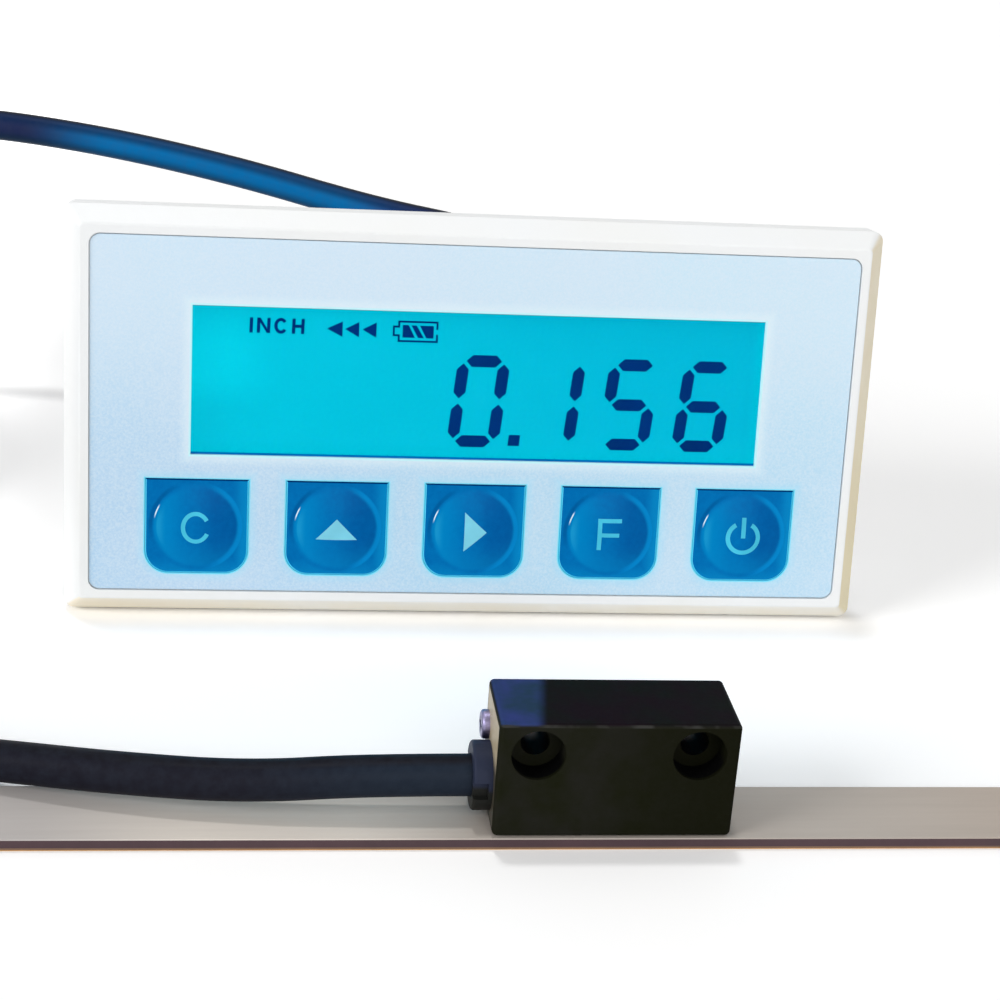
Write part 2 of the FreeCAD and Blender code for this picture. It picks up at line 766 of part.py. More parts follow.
def tube(points, name):
    """A cable along straight runs joined by tangent arcs."""
    path, at = [], points[0]
    smallest = math.inf
    for i in range(1, len(points) - 1):
        a, b, c = points[i - 1], points[i], points[i + 1]
        back, on = (a - b), (c - b)
        turn = math.pi - back.getAngle(on)
        trim = bend_share * min(back.Length, on.Length)
        radius = trim / math.tan(turn / 2)
        smallest = min(smallest, radius)
        first, last = b + back.normalize() * trim, b + on.normalize() * trim
        bisector = (back + on).normalize()
        centre = b + bisector * math.hypot(radius, trim)
        middle = centre - bisector * radius
        path += [Part.LineSegment(at, first).toShape(), Part.Arc(first, middle, last).toShape()]
        at = last
    path.append(Part.LineSegment(at, points[-1]).toShape())
    wire = Part.Wire(path)
    section = Part.Wire(Part.Circle(points[0], points[1] - points[0], cable_radius).toShape())
    swept = wire.makePipeShell([section], True, False)
    straight = wire.Length * math.pi * cable_radius ** 2
    print(name, "smallest radius", round(smallest, 1), "length", round(wire.Length, 1),
          "volume over section times length", round(swept.Volume / straight, 4))
    return swept


def row_points(points):
    """Points of a route, whose y is counted from the read head's front face."""
    return [Vector(x, y + head_front_y, z) for x, y, z in points]


# The route from the display's board, over the back, down to the coil
display_route = [
    (14.8, 111.5, 28.9),
    (6.0, 120.0, 29.8),
    (-8.7, 124.5, 32.1),
    (-29.1, 130.0, 35.2),
    (-50.5, 135.5, 37.9),
    (-71.8, 138.0, 39.4),
    (-91.5, 135.5, 33.0),
    (-107.5, 124.5, 21.0),
    (-115.6, 111.0, 10.5),
    (-117.2, 95.5, 3.2),
]

# The route from the coil, along the surface and over the scale, to the read head
head_route = [
    (-113.5, 83.0, 2.95),
    (-108.0, 67.5, 2.95),
    (-98.5, 51.0, 2.25),
    (-89.0, 35.0, 2.2),
    (-77.0, 22.8, 2.2),
    (-63.9, 15.3, 2.5),
    (-51.0, 10.9, 3.7),
    (-39.0, 7.3, 4.35),
    (-26.4, 5.3, 4.55),
]


def display_cable(coil):
    start = display_point(relief_x, board_back + connector_size[2], relief_z)
    after = display_point(relief_x, relief_tip_y + straight_after_relief, relief_z)
    whole = tube([start, after] + row_points(display_route), "display cable")
    return max(whole.cut(coil).Solids, key=lambda s: s.Volume)


def head_cable(coil):
    height = head_base + head_axis_height
    end = Vector(head_left + head_sleeve_reach, head_front_y + head_middle, height)
    before = Vector(head_left - straight_before_head, head_front_y + head_middle, height)
    whole = tube(row_points(head_route) + [before, end], "head cable")
    return max(whole.cut(coil).Solids, key=lambda s: s.Volume)


def display_parts():
    parts = {
        "front_bezel": front_bezel(),
        "face_sheet": face_sheet(),
        "window_lens": window_lens(),
        "lcd_front_glass": lcd_sheet(plate_back, plate_back + lcd_glass),
        "lcd_rear_glass": lcd_sheet(plate_back + lcd_glass, lcd_back),
        "backlight": lcd_sheet(lcd_back, board_front),
        "main_board": main_board(),
        "board_screws": board_screws(),
        "board_connector": board_connector(),
        "case_gasket": case_gasket(),
        "rear_case": rear_case(),
        "case_screws": case_screws(),
        "upper_cell": cell(1),
        "lower_cell": cell(-1),
        "battery_contacts": battery_contacts(),
        "battery_door": battery_door(),
        "door_screw": door_screw(),
        "strain_relief": strain_relief(),
    }
    for name, x in zip(key_names, key_places()):
        parts["key_" + name] = key_cap(x)
        parts["plunger_" + name] = switch_plunger(x)
        parts["switch_" + name] = key_switch(x)
    return parts


def build():
    for name, shape in display_parts().items():
        save(name, on_display(shape))
    head = {"head_housing": head_housing(), "head_end_plate": head_end_plate(),
            "head_end_screw": head_end_screw(), "head_gland": head_gland()}
    for name, shape in {**head, **head_insides(), **scale_layers()}.items():
        save(name, shape)
    coil = cable_coil()
    save("cable_coil", coil)
    save("coil_tie", coil_tie())
    save("display_cable", display_cable(coil))
    save("head_cable", head_cable(coil))


build()
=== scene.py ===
import math

import bpy
from mathutils import Matrix, Vector


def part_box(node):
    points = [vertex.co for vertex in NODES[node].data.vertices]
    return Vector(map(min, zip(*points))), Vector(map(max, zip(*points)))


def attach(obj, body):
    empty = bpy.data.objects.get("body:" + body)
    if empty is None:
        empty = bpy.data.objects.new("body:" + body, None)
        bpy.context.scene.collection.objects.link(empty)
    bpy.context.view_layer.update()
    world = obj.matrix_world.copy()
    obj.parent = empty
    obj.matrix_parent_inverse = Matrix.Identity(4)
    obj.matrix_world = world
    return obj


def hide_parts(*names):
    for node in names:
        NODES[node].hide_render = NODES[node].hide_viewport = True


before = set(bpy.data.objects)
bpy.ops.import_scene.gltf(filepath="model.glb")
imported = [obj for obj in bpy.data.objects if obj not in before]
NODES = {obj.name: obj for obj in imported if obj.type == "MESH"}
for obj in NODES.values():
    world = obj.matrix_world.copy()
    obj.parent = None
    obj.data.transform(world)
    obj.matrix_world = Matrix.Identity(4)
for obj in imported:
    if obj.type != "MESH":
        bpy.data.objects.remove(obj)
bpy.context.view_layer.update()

HEAD_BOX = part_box("head_housing")
HEAD_LEFT, HEAD_FRONT, HEAD_TOP = HEAD_BOX[0][0], HEAD_BOX[0][1], HEAD_BOX[1][2]
GLAND_Z = sum(corner[2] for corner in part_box("head_gland")) / 2

MM = 0.001

# The display's own frame, in millimetres: x right, y back from its ridge, z up from its centre
LEAN = math.atan(2.4 / 17.1)
FACE_Y, FACE_Z = 0.007972049, 0.024600987
FACE = Matrix.Translation((0.0, FACE_Y, FACE_Z)) @ Matrix.Rotation(-LEAN, 4, "X")

# Window and keys on the display's face, in its own frame
WINDOW_X, WINDOW_Z, WINDOW_WIDTH, WINDOW_HEIGHT = 0.3, 4.3, 67.3, 17.6
KEYS = (("clear", -32.5), ("up", -16.1), ("right", 0.3), ("function", 16.7), ("power", 33.1))
KEY_PITCH = (KEYS[-1][1] - KEYS[0][1]) / (len(KEYS) - 1)
KEY_WIDTH, KEY_HEIGHT, KEY_CORNER, KEY_Z = 11.7, 11.1, 2.6, -13.15


def face_point(x, y, z):
    """A point of the display's own frame, in the common one."""
    return FACE @ Vector((x * MM, y * MM, z * MM))


def between(first, last, share):
    """The point at a share of the way from one point to another."""
    return tuple(u + (v - u) * share for u, v in zip(first, last))


# Camera

CAMERA_PLACE = (-0.02931, -0.22265, 0.11096)
PITCH, YAW, ROLL = 0.391, 0.141, 0.073
LENS, SENSOR_WIDTH = 75.68, 36


def camera():
    """A long lens, a little above and left of the scale's middle."""
    forward = Vector((math.sin(YAW) * math.cos(PITCH), math.cos(YAW) * math.cos(PITCH), -math.sin(PITCH)))
    level = Vector((math.cos(YAW), -math.sin(YAW), 0))
    upright = level.cross(forward)
    right = math.cos(ROLL) * level + math.sin(ROLL) * upright
    up = math.cos(ROLL) * upright - math.sin(ROLL) * level
    data = bpy.data.cameras.new("camera")
    data.lens = LENS
    data.sensor_width = SENSOR_WIDTH
    data.clip_start = 0.01
    view = bpy.data.objects.new("camera", data)
    turn = Matrix((right, up, -forward)).transposed().to_4x4()
    view.matrix_world = Matrix.Translation(CAMERA_PLACE) @ turn
    bpy.context.scene.collection.objects.link(view)
    bpy.context.scene.camera = view


# Materials


def colour(red, green, blue):
    """A colour as it is seen on a screen, 0 to 255, made linear."""
    parts = [c / 255 for c in (red, green, blue)]
    return tuple(c / 12.92 if c <= 0.04045 else ((c + 0.055) / 1.055) ** 2.4 for c in parts) + (1.0,)


class Look:
    """A procedural material on one Principled shader, in the object's own metres."""

    def __init__(self, name, base, roughness=0.5, **sockets):
        self.material = bpy.data.materials.new(name)
        self.material.use_nodes = True
        self.tree = self.material.node_tree
        self.shader = self.tree.nodes["Principled BSDF"]
        self.output = self.tree.nodes["Material Output"]
        self.shader.inputs["Base Color"].default_value = base
        self.shader.inputs["Roughness"].default_value = roughness
        for socket, value in sockets.items():
            self.shader.inputs[socket.replace("_", " ").title().replace("Ior", "IOR")].default_value = value
        self.place = self.node("ShaderNodeTexCoord").outputs["Object"]

    def node(self, kind, **settings):
        made = self.tree.nodes.new(kind)
        for name, value in settings.items():
            setattr(made, name, value)
        return made

    def link(self, out, into):
        self.tree.links.new(out, into)

    def noise(self, scale, detail=3.0, rough=0.55, stretch=(1, 1, 1)):
        """Noise whose grain is about 1 / scale metres wide."""
        mapping = self.node("ShaderNodeMapping")
        mapping.inputs["Scale"].default_value = stretch
        self.link(self.place, mapping.inputs["Vector"])
        made = self.node("ShaderNodeTexNoise")
        made.inputs["Scale"].default_value = scale
        made.inputs["Detail"].default_value = detail
        made.inputs["Roughness"].default_value = rough
        self.link(mapping.outputs["Vector"], made.inputs["Vector"])
        return made.outputs["Fac"]

    def fade(self, value, start, end):
        """0 to 1 from start to end of a value, smooth at both ends."""
        made = self.node("ShaderNodeMapRange", interpolation_type="SMOOTHSTEP")
        made.inputs["From Min"].default_value = start
        made.inputs["From Max"].default_value = end
        self.link(value, made.inputs["Value"])
        return made.outputs["Result"]

    def part(self, vector, axis):
        """One of a vector's three numbers."""
        parts = self.node("ShaderNodeSeparateXYZ")
        self.link(vector, parts.inputs["Vector"])
        return parts.outputs[axis]

    def along(self, axis, start, end):
        """0 to 1 from start to end along an axis."""
        return self.fade(self.part(self.place, axis), start, end)

    def facing(self, axis, start, end):
        """0 to 1 by where the surface faces along an axis."""
        geometry = self.node("ShaderNodeNewGeometry")
        return self.fade(self.part(geometry.outputs["Normal"], axis), start, end)

    def maths(self, operation, *values):
        """One sum of sockets and numbers."""
        made = self.node("ShaderNodeMath", operation=operation)
        for value, into in zip(values, made.inputs):
            if isinstance(value, bpy.types.NodeSocket):
                self.link(value, into)
            else:
                into.default_value = value
        return made.outputs["Value"]

    def both(self, first, *others):
        """Where two or more factors meet."""
        for other in others:
            first = self.maths("MULTIPLY", first, other)
        return first

    def length(self, across, up):
        """The length of a step across and up."""
        squares = self.maths("ADD", self.maths("POWER", across, 2.0), self.maths("POWER", up, 2.0))
        return self.maths("SQRT", squares)

    def on_face(self):
        """x and z in the display's own frame, in millimetres."""
        mapping = self.node("ShaderNodeMapping", vector_type="TEXTURE")
        mapping.inputs["Location"].default_value = FACE.translation
        mapping.inputs["Rotation"].default_value = FACE.to_euler()
        mapping.inputs["Scale"].default_value = (MM, MM, MM)
        self.link(self.place, mapping.inputs["Vector"])
        return self.part(mapping.outputs["Vector"], "X"), self.part(mapping.outputs["Vector"], "Z")

    def on_key(self):
        """x and z from the middle of the nearest key, in millimetres."""
        x, z = self.on_face()
        past = self.maths("SUBTRACT", x, KEYS[0][1] - KEY_PITCH / 2)
        turn = self.maths("FLOORED_MODULO", past, KEY_PITCH)
        return self.maths("SUBTRACT", turn, KEY_PITCH / 2), self.maths("SUBTRACT", z, KEY_Z)

    def ramp(self, value, *stops):
        """A value or colour by steps of (position, colour or grey)."""
        made = self.node("ShaderNodeValToRGB")
        ramp = made.color_ramp
        while len(ramp.elements) < len(stops):
            ramp.elements.new(0.5)
        for element, (position, shade) in zip(ramp.elements, stops):
            element.position = position
            element.color = shade if isinstance(shade, tuple) else (shade, shade, shade, 1)
        self.link(value, made.inputs["Fac"])
        return made.outputs["Color"]

    def mix(self, factor, first, second, blend="MIX"):
        """Two colours or sockets, mixed by a factor or a socket."""
        made = self.node("ShaderNodeMix", data_type="RGBA", blend_type=blend)
        for value, into in ((factor, made.inputs[0]), (first, made.inputs[6]), (second, made.inputs[7])):
            if isinstance(value, bpy.types.NodeSocket):
                self.link(value, into)
            else:
                into.default_value = value
        return made.outputs[2]

    def base(self, socket):
        """The surface's own colour."""
        self.link(socket, self.shader.inputs["Base Color"])
        return self

    def rough(self, socket, low, high):
        """Roughness from low to high by a factor."""
        made = self.node("ShaderNodeMapRange")
        made.inputs["To Min"].default_value = low
        made.inputs["To Max"].default_value = high
        self.link(socket, made.inputs["Value"])
        self.link(made.outputs["Result"], self.shader.inputs["Roughness"])
        return self

    def bump(self, socket, height):
        """Relief of a height in metres."""
        made = self.node("ShaderNodeBump")
        made.inputs["Distance"].default_value = height
        made.inputs["Strength"].default_value = 1.0
        self.link(socket, made.inputs["Height"])
        self.link(made.outputs["Normal"], self.shader.inputs["Normal"])
        return self


def dress(look, *names):
    """Gives CAD nodes a material."""
    for name in names:
        mesh = NODES[name].data
        mesh.materials.clear()
        mesh.materials.append(look.material)


def white_plastic():
    """White moulding, with painted light and shade on its bevels: lighter and creamy at the foot, beige
    painted shade on the right bevel and brighter white on the left one.
    """
    look = Look("white_plastic", colour(242, 243, 243), 0.36, specular_ior_level=0.25)
    cloud = look.ramp(look.noise(60, 3), (0.4, 0.0), (0.75, 1.0))
    shade = look.mix(cloud, colour(241, 243, 244), colour(240, 241, 239))
    patches = look.ramp(look.noise(140, 3), (0.35, 0.45), (0.65, 1.0))
    # Painted light: the downward-facing foot is made lighter and creamy, more so towards the left corner
    low = look.both(look.facing("Z", -0.25, -0.5), look.along("Z", 0.0045, 0.0015))
    shade = look.mix(low, shade, look.mix(patches, colour(252, 252, 248), colour(250, 244, 230)))
    corner = look.both(low, look.along("X", -0.012, -0.046), 0.8)
    shade = look.mix(corner, shade, colour(245, 234, 210))
    # Painted shade: the right bevel is made beige, yellower towards the bottom
    right = look.both(look.facing("X", 0.3, 0.7), look.facing("X", 0.98, 0.88),
                      look.along("X", 0.0455, 0.0462))
    beige = look.mix(look.along("Z", 0.036, 0.010), colour(238, 232, 214), colour(238, 228, 190))
    shade = look.mix(right, shade, look.mix(look.both(patches, 0.6), beige, colour(226, 211, 176)))
    # Painted light: the left bevel is made brighter white
    left = look.both(look.facing("X", -0.4, -0.7), look.along("X", -0.046, -0.0475))
    shade = look.mix(left, shade, colour(251, 252, 252))
    look.base(shade).rough(look.noise(900, 4), 0.30, 0.44)
    return look.bump(look.noise(2600, 4), 0.000012)


def outside_keys(look, x, z):
    """Distance in millimetres from the nearest key's outline, on the face."""
    half_x, half_z = KEY_WIDTH / 2, KEY_HEIGHT / 2
    first, last = KEYS[0][1], KEYS[-1][1]
    x = look.maths("MINIMUM", look.maths("MAXIMUM", x, first - KEY_PITCH / 2), last + KEY_PITCH / 2)
    side = look.maths("PINGPONG", look.maths("SUBTRACT", x, first), KEY_PITCH / 2)
    up = look.maths("SUBTRACT", z, KEY_Z)
    across = look.maths("MAXIMUM", look.maths("ADD", side, KEY_CORNER - half_x), 0.0)
    below = look.maths("MAXIMUM", look.maths("SUBTRACT", KEY_CORNER - half_z, up), 0.0)
    around = look.maths("SUBTRACT", look.length(across, below), KEY_CORNER)
    return look.maths("MAXIMUM", around, look.maths("SUBTRACT", up, half_z))


def outside_window(look, x, z):
    """Distance in millimetres from the window's outline, on the face."""
    side = look.maths("ABSOLUTE", look.maths("SUBTRACT", x, WINDOW_X))
    up = look.maths("ABSOLUTE", look.maths("SUBTRACT", z, WINDOW_Z))
    return look.maths("MAXIMUM", look.maths("SUBTRACT", side, WINDOW_WIDTH / 2),
                      look.maths("SUBTRACT", up, WINDOW_HEIGHT / 2))


def printed_film():
    """Pale blue film with a fine grain, a painted cyan glow of light round each key and a pale painted glow
    round the window.
    """
    look = Look("printed_film", colour(206, 228, 244), 0.42, specular_ior_level=0.15)
    grain = look.ramp(look.noise(3400, 3, 0.7), (0.36, 0.0), (0.64, 1.0))
    x, z = look.on_face()
    high = look.mix(look.fade(x, -30, 40), colour(206, 230, 247), colour(205, 232, 247))
    low = look.mix(look.fade(x, -44, 20), colour(174, 211, 239), colour(178, 219, 242))
    shade = look.mix(look.fade(z, 16, -12), high, low)
    cloud = look.ramp(look.noise(70, 2), (0.35, 0.0), (0.7, 1.0))
    shade = look.mix(look.both(cloud, 0.35), shade, colour(216, 230, 245))
    shade = look.mix(look.both(grain, 0.5), shade, colour(222, 236, 248))
    # Painted light: a pale glow round the window, brightest at its edge
    gap = outside_window(look, x, z)
    shade = look.mix(look.both(look.fade(gap, 1.6, 0.2), 0.55), shade, colour(226, 244, 252))
    shade = look.mix(look.fade(gap, 0.3, 0.1), shade, colour(196, 247, 253))
    # Painted light: a cyan glow round each key, brightest close to its outline
    gap = outside_keys(look, x, z)
    shade = look.mix(look.both(look.fade(gap, 1.5, 0.2), 0.45), shade, colour(166, 226, 250))
    shade = look.mix(look.fade(gap, 0.42, 0.24), shade, colour(120, 226, 250))
    look.base(shade).rough(grain, 0.36, 0.5)
    return look.bump(look.noise(3000, 4), 0.000008)


def lit_glass():
    """Backlit cyan of the liquid crystal, brighter at the left and along the bottom and the right edge."""
    look = Look("lit_glass", colour(0, 110, 126), 0.3, specular_ior_level=0.0)
    x, z = look.on_face()
    shade = look.mix(look.fade(x, -34, 30), colour(0, 200, 226), colour(0, 186, 219))
    high = look.both(look.fade(z, 6, 14), look.fade(x, -20, 34))
    shade = look.mix(high, shade, colour(0, 182, 215))
    shade = look.mix(look.both(look.fade(z, 0, -5), 0.6), shade, colour(0, 203, 229))
    spot = look.both(look.fade(x, -22, -31), look.fade(z, 0, 5), look.fade(z, 13, 8), 0.8)
    shade = look.mix(spot, shade, colour(0, 216, 238))
    shade = look.mix(look.both(look.fade(x, 33, 34.3), 0.7), shade, colour(0, 209, 235))
    cloud = look.ramp(look.noise(160, 3), (0.3, 0.0), (0.7, 1.0))
    shade = look.mix(look.both(cloud, 0.25), shade, colour(0, 192, 220))
    look.link(shade, look.shader.inputs["Emission Color"])
    look.shader.inputs["Emission Strength"].default_value = 0.72
    return look.base(look.mix(1.0, shade, (0.3, 0.3, 0.3, 1), "MULTIPLY"))


def clear_plastic():
    """Transparent but for its reflection."""
    look = Look("clear_plastic", (1, 1, 1, 1), 0.05)
    clear = look.node("ShaderNodeBsdfTransparent")
    gloss = look.node("ShaderNodeBsdfGlossy")
    gloss.inputs["Roughness"].default_value = 0.06
    edge = look.node("ShaderNodeFresnel")
    edge.inputs["IOR"].default_value = 1.07
    both = look.node("ShaderNodeMixShader")
    look.link(edge.outputs["Fac"], both.inputs["Fac"])
    look.link(clear.outputs["BSDF"], both.inputs[1])
    look.link(gloss.outputs["BSDF"], both.inputs[2])
    look.link(both.outputs["Shader"], look.output.inputs["Surface"])
    look.tree.nodes.remove(look.shader)
    return look


def key_rubber():
    """Blue keys with painted light and shade: a painted highlight on the dome's left slope, painted shade on
    its right one and at its upper left foot, painted light on its right rim and lower edge, a painted glint,
    and edges painted pale at the sides and below, dark on top.
    """
    look = Look("key_blue", colour(0, 112, 180), 0.34, specular_ior_level=0.02)
    grain = look.ramp(look.noise(1500, 4, 0.65), (0.35, 0.0), (0.7, 1.0))
    shade = look.mix(grain, colour(0, 108, 177), colour(0, 116, 184))
    dark = look.mix(grain, colour(0, 92, 163), colour(0, 100, 171))
    # Painted shade: darker where the dome faces right
    shade = look.mix(look.facing("X", -0.04, 0.16), shade, dark)
    # Painted light: lighter where the dome faces down
    shade = look.mix(look.both(look.facing("Z", 0.08, -0.2), 0.6), shade, colour(0, 130, 193))
    # Painted highlight: brighter where the dome faces left, brightest on its left rim
    shade = look.mix(look.both(look.facing("X", -0.02, -0.26), 0.7), shade, colour(0, 135, 197))
    shade = look.mix(look.both(look.facing("X", -0.22, -0.34), 0.6), shade, colour(50, 186, 224))
    across, up = look.on_key()
    far = look.length(across, up)
    # Painted shadow: a dark ring at the dome's foot, on its upper left
    foot = look.both(look.fade(far, 5.0, 5.25), look.fade(far, 5.75, 5.4),
                     look.fade(across, -1.5, -4.5), look.fade(up, -3.0, 1.0), 0.45)
    shade = look.mix(foot, shade, colour(0, 62, 124))
    # Painted light: a lighter ring at the dome's right foot, against the lamps' shade there
    edge = look.both(look.fade(far, 4.5, 5.0), look.fade(far, 5.5, 5.2), look.fade(across, 0.5, 3.5), 0.9)
    shade = look.mix(edge, shade, colour(4, 138, 206))
    # Painted light: lighter towards the key's right edge and its lower edge
    light = look.maths("MAXIMUM", look.fade(across, 4.0, 5.7), look.both(look.fade(up, -3.6, -5.4), 0.6))
    shade = look.mix(look.both(light, look.fade(far, 5.0, 5.6), 0.8), shade, colour(6, 138, 200))
    # Painted highlight: a small glint on the dome's upper left rim
    glint = look.both(look.fade(far, 4.9, 4.96), look.fade(far, 5.09, 5.02), look.fade(across, -4.2, -4.5),
                      look.fade(up, 0.8, 1.6), look.fade(up, 2.8, 2.2))
    shade = look.mix(glint, shade, colour(226, 250, 255))
    # Painted light and shade on the edge: pale at the sides and below, dark along the top
    side = look.mix(look.facing("Z", 0.45, 0.7), colour(92, 222, 250), colour(0, 58, 118))
    shade = look.mix(look.facing("Y", -0.9, -0.78), shade, side)
    look.base(shade).rough(grain, 0.28, 0.4)
    return look.bump(look.noise(2600, 3), 0.000006)


def plain(name, base, roughness, grain=2000, relief=0.00001, contrast=0.12, **sockets):
    """A moulded or rolled surface with a fine grain and a little unevenness."""
    look = Look(name, base, roughness, **sockets)
    dark = tuple(c * (1 - contrast) for c in base[:3]) + (1.0,)
    light = tuple(min(1.0, c * (1 + contrast)) for c in base[:3]) + (1.0,)
    fine = look.noise(grain, 4, 0.6)
    look.base(look.mix(look.ramp(look.noise(grain / 12, 3), (0.3, 0.0), (0.7, 1.0)), dark, light))
    look.rough(fine, roughness * 0.85, min(1.0, roughness * 1.15))
    return look.bump(fine, relief)


# Stage

# Each lamp's name, the direction that it comes from, its spread in degrees, its strength and its tint
LAMPS = (
    ("left_lamp", (-0.9, -0.45, 0.5), 25, 1.3, (1.0, 1.0, 1.0)),
    ("front_lamp", (0.15, -0.9, 0.45), 40, 0.9, (1.0, 0.99, 0.98)),
    ("top_lamp", (-0.06, 0.21, 1.0), 5, 0.62, (1.0, 1.0, 1.0)),
)
ROOM_LIGHT = 0.38

# The floor's white as the camera sees it, in the middle and beside the coil at the left, and where one goes
# over into the other. Faint shadows are lost in it, as in a cut-out picture.
FLOOR_SEEN, FLOOR_LEFT = 1.17, 1.7
LEFT_FROM, LEFT_FULL = -0.052, -0.072
FLOOR_REACH = 3.0


def see_as(tree, shown, hidden):
    """One shader for what the camera, reflections and clear things see, another for the light it gives."""
    path = tree.nodes.new("ShaderNodeLightPath")
    seen = path.outputs["Is Camera Ray"]
    for ray in ("Is Glossy Ray", "Is Transmission Ray"):
        more = tree.nodes.new("ShaderNodeMath")
        more.operation = "MAXIMUM"
        tree.links.new(seen, more.inputs[0])
        tree.links.new(path.outputs[ray], more.inputs[1])
        seen = more.outputs["Value"]
    pick = tree.nodes.new("ShaderNodeMixShader")
    tree.links.new(seen, pick.inputs["Fac"])
    tree.links.new(hidden, pick.inputs[1])
    tree.links.new(shown, pick.inputs[2])
    return pick.outputs["Shader"]


def stage():
    """White floor that keeps the object's stronger shadows, white room and soft lamps."""
    scene = bpy.context.scene
    scene.view_settings.view_transform = "Standard"

    world = bpy.data.worlds.new("room")
    scene.world = world
    world.use_nodes = True
    tree = world.node_tree
    lit = tree.nodes["Background"]
    lit.inputs["Color"].default_value = (1, 1, 1, 1)
    lit.inputs["Strength"].default_value = ROOM_LIGHT
    seen = tree.nodes.new("ShaderNodeBackground")
    seen.inputs["Color"].default_value = (1, 1, 1, 1)
    both = see_as(tree, seen.outputs["Background"], lit.outputs["Background"])
    tree.links.new(both, tree.nodes["World Output"].inputs["Surface"])

    look = Look("studio_floor", (0.95, 0.95, 0.95, 1), 0.9, specular_ior_level=0.0)
    look.bump(look.noise(300, 2), 0.00001)
    white = look.node("ShaderNodeBsdfDiffuse")
    near, far = [(value, value, value, 1) for value in (FLOOR_SEEN, FLOOR_LEFT)]
    look.link(look.mix(look.along("X", LEFT_FROM, LEFT_FULL), near, far), white.inputs["Color"])
    both = see_as(look.tree, white.outputs["BSDF"], look.shader.outputs["BSDF"])
    look.link(both, look.output.inputs["Surface"])
    corners = [(x * FLOOR_REACH, y * FLOOR_REACH, 0) for x, y in ((-1, -1), (1, -1), (1, 1), (-1, 1))]
    mesh = bpy.data.meshes.new("studio_floor")
    mesh.from_pydata(corners, [], [(0, 1, 2, 3)])
    mesh.materials.append(look.material)
    floor = bpy.data.objects.new("studio_floor", mesh)
    scene.collection.objects.link(floor)

    for name, place, spread, strength, tint in LAMPS:
        data = bpy.data.lights.new(name, "SUN")
        data.angle = math.radians(spread)
        data.energy = strength
        data.color = tint
        lamp = bpy.data.objects.new(name, data)
        lamp.location = place
        lamp.rotation_euler = (-Vector(place)).to_track_quat("-Z", "Y").to_euler()
        scene.collection.objects.link(lamp)


# Pieces


def piece(name, points, faces, look, body, smooth=True, sharp=35):
    """A mesh in metres that rides on a body."""
    mesh = bpy.data.meshes.new(name)
    mesh.from_pydata(points, [], faces)
    mesh.validate()
    mesh.update()
    for polygon in mesh.polygons:
        polygon.use_smooth = smooth
    if smooth:
        mesh.set_sharp_from_angle(angle=math.radians(sharp))
    mesh.materials.append(look.material)
    made = bpy.data.objects.new(name, mesh)
    bpy.context.scene.collection.objects.link(made)
    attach(made, body)
    return made


# Key caps, in the display's own frame: depths of front, flange and stem, how far a cap reaches into the gap
# round it, its small rim, and its dome with the soft foot
KEY_FRONT, KEY_BACK, KEY_FLANGE, FLANGE_THICK = 0.2, 2.45, 0.45, 0.55
KEY_REACH, KEY_RIM = 0.18, 0.18
DOME_RADIUS, DOME_RISE, DOME_BLEND = 4.95, 0.8, 0.35
DOME_RINGS = (0.6, 1.3, 2.0, 2.7, 3.3, 3.9, 4.3, 4.6, 4.75, 4.9, 5.05, 5.2, DOME_RADIUS + DOME_BLEND)
STEM_RADIUS, STEM_BACK = 2.0, 3.65


def key_outline(inset):
    """The key's outline about its centre, square above and round below, from its upper right corner."""
    half, high = KEY_WIDTH / 2 - inset, KEY_HEIGHT / 2 - inset
    low = -high
    corner = KEY_CORNER - inset
    points = []

    def line(x0, z0, x1, z1, count):
        points.extend(between((x0, z0), (x1, z1), i / count) for i in range(count))

    def arc(x, z, first, last, count):
        for i in range(count):
            angle = math.radians(first + (last - first) * i / count)
            points.append((x + corner * math.cos(angle), z + corner * math.sin(angle)))

    line(half, high, -half, high, 24)
    line(-half, high, -half, low + corner, 18)
    arc(-half + corner, low + corner, 180, 270, 14)
    line(-half + corner, low, half - corner, low, 16)
    arc(half - corner, low + corner, 270, 360, 14)
    line(half, low + corner, half, high, 18)
    return points


def dome_depth(radius):
    """Depth of the key's front at a distance from its middle, with a soft foot round the dome."""
    ball = (DOME_RADIUS ** 2 + DOME_RISE ** 2) / (2 * DOME_RISE)

    def cap(r):
        return math.sqrt(ball ** 2 - r ** 2) - (ball - DOME_RISE)

    inner, outer = DOME_RADIUS - DOME_BLEND, DOME_RADIUS + DOME_BLEND
    if radius <= inner:
        return KEY_FRONT - cap(radius)
    if radius >= outer:
        return KEY_FRONT
    t = (radius - inner) / (outer - inner)
    slope = -inner / math.sqrt(ball ** 2 - inner ** 2) * (outer - inner)
    rise = cap(inner) * (1 + 2 * t) * (1 - t) ** 2 + slope * t * (1 - t) ** 2
    return KEY_FRONT - rise


def circle(outline, radius):
    """A round ring, with a point in the direction of each point of an outline."""
    return [(u * radius / math.hypot(u, v), v * radius / math.hypot(u, v)) for u, v in outline]


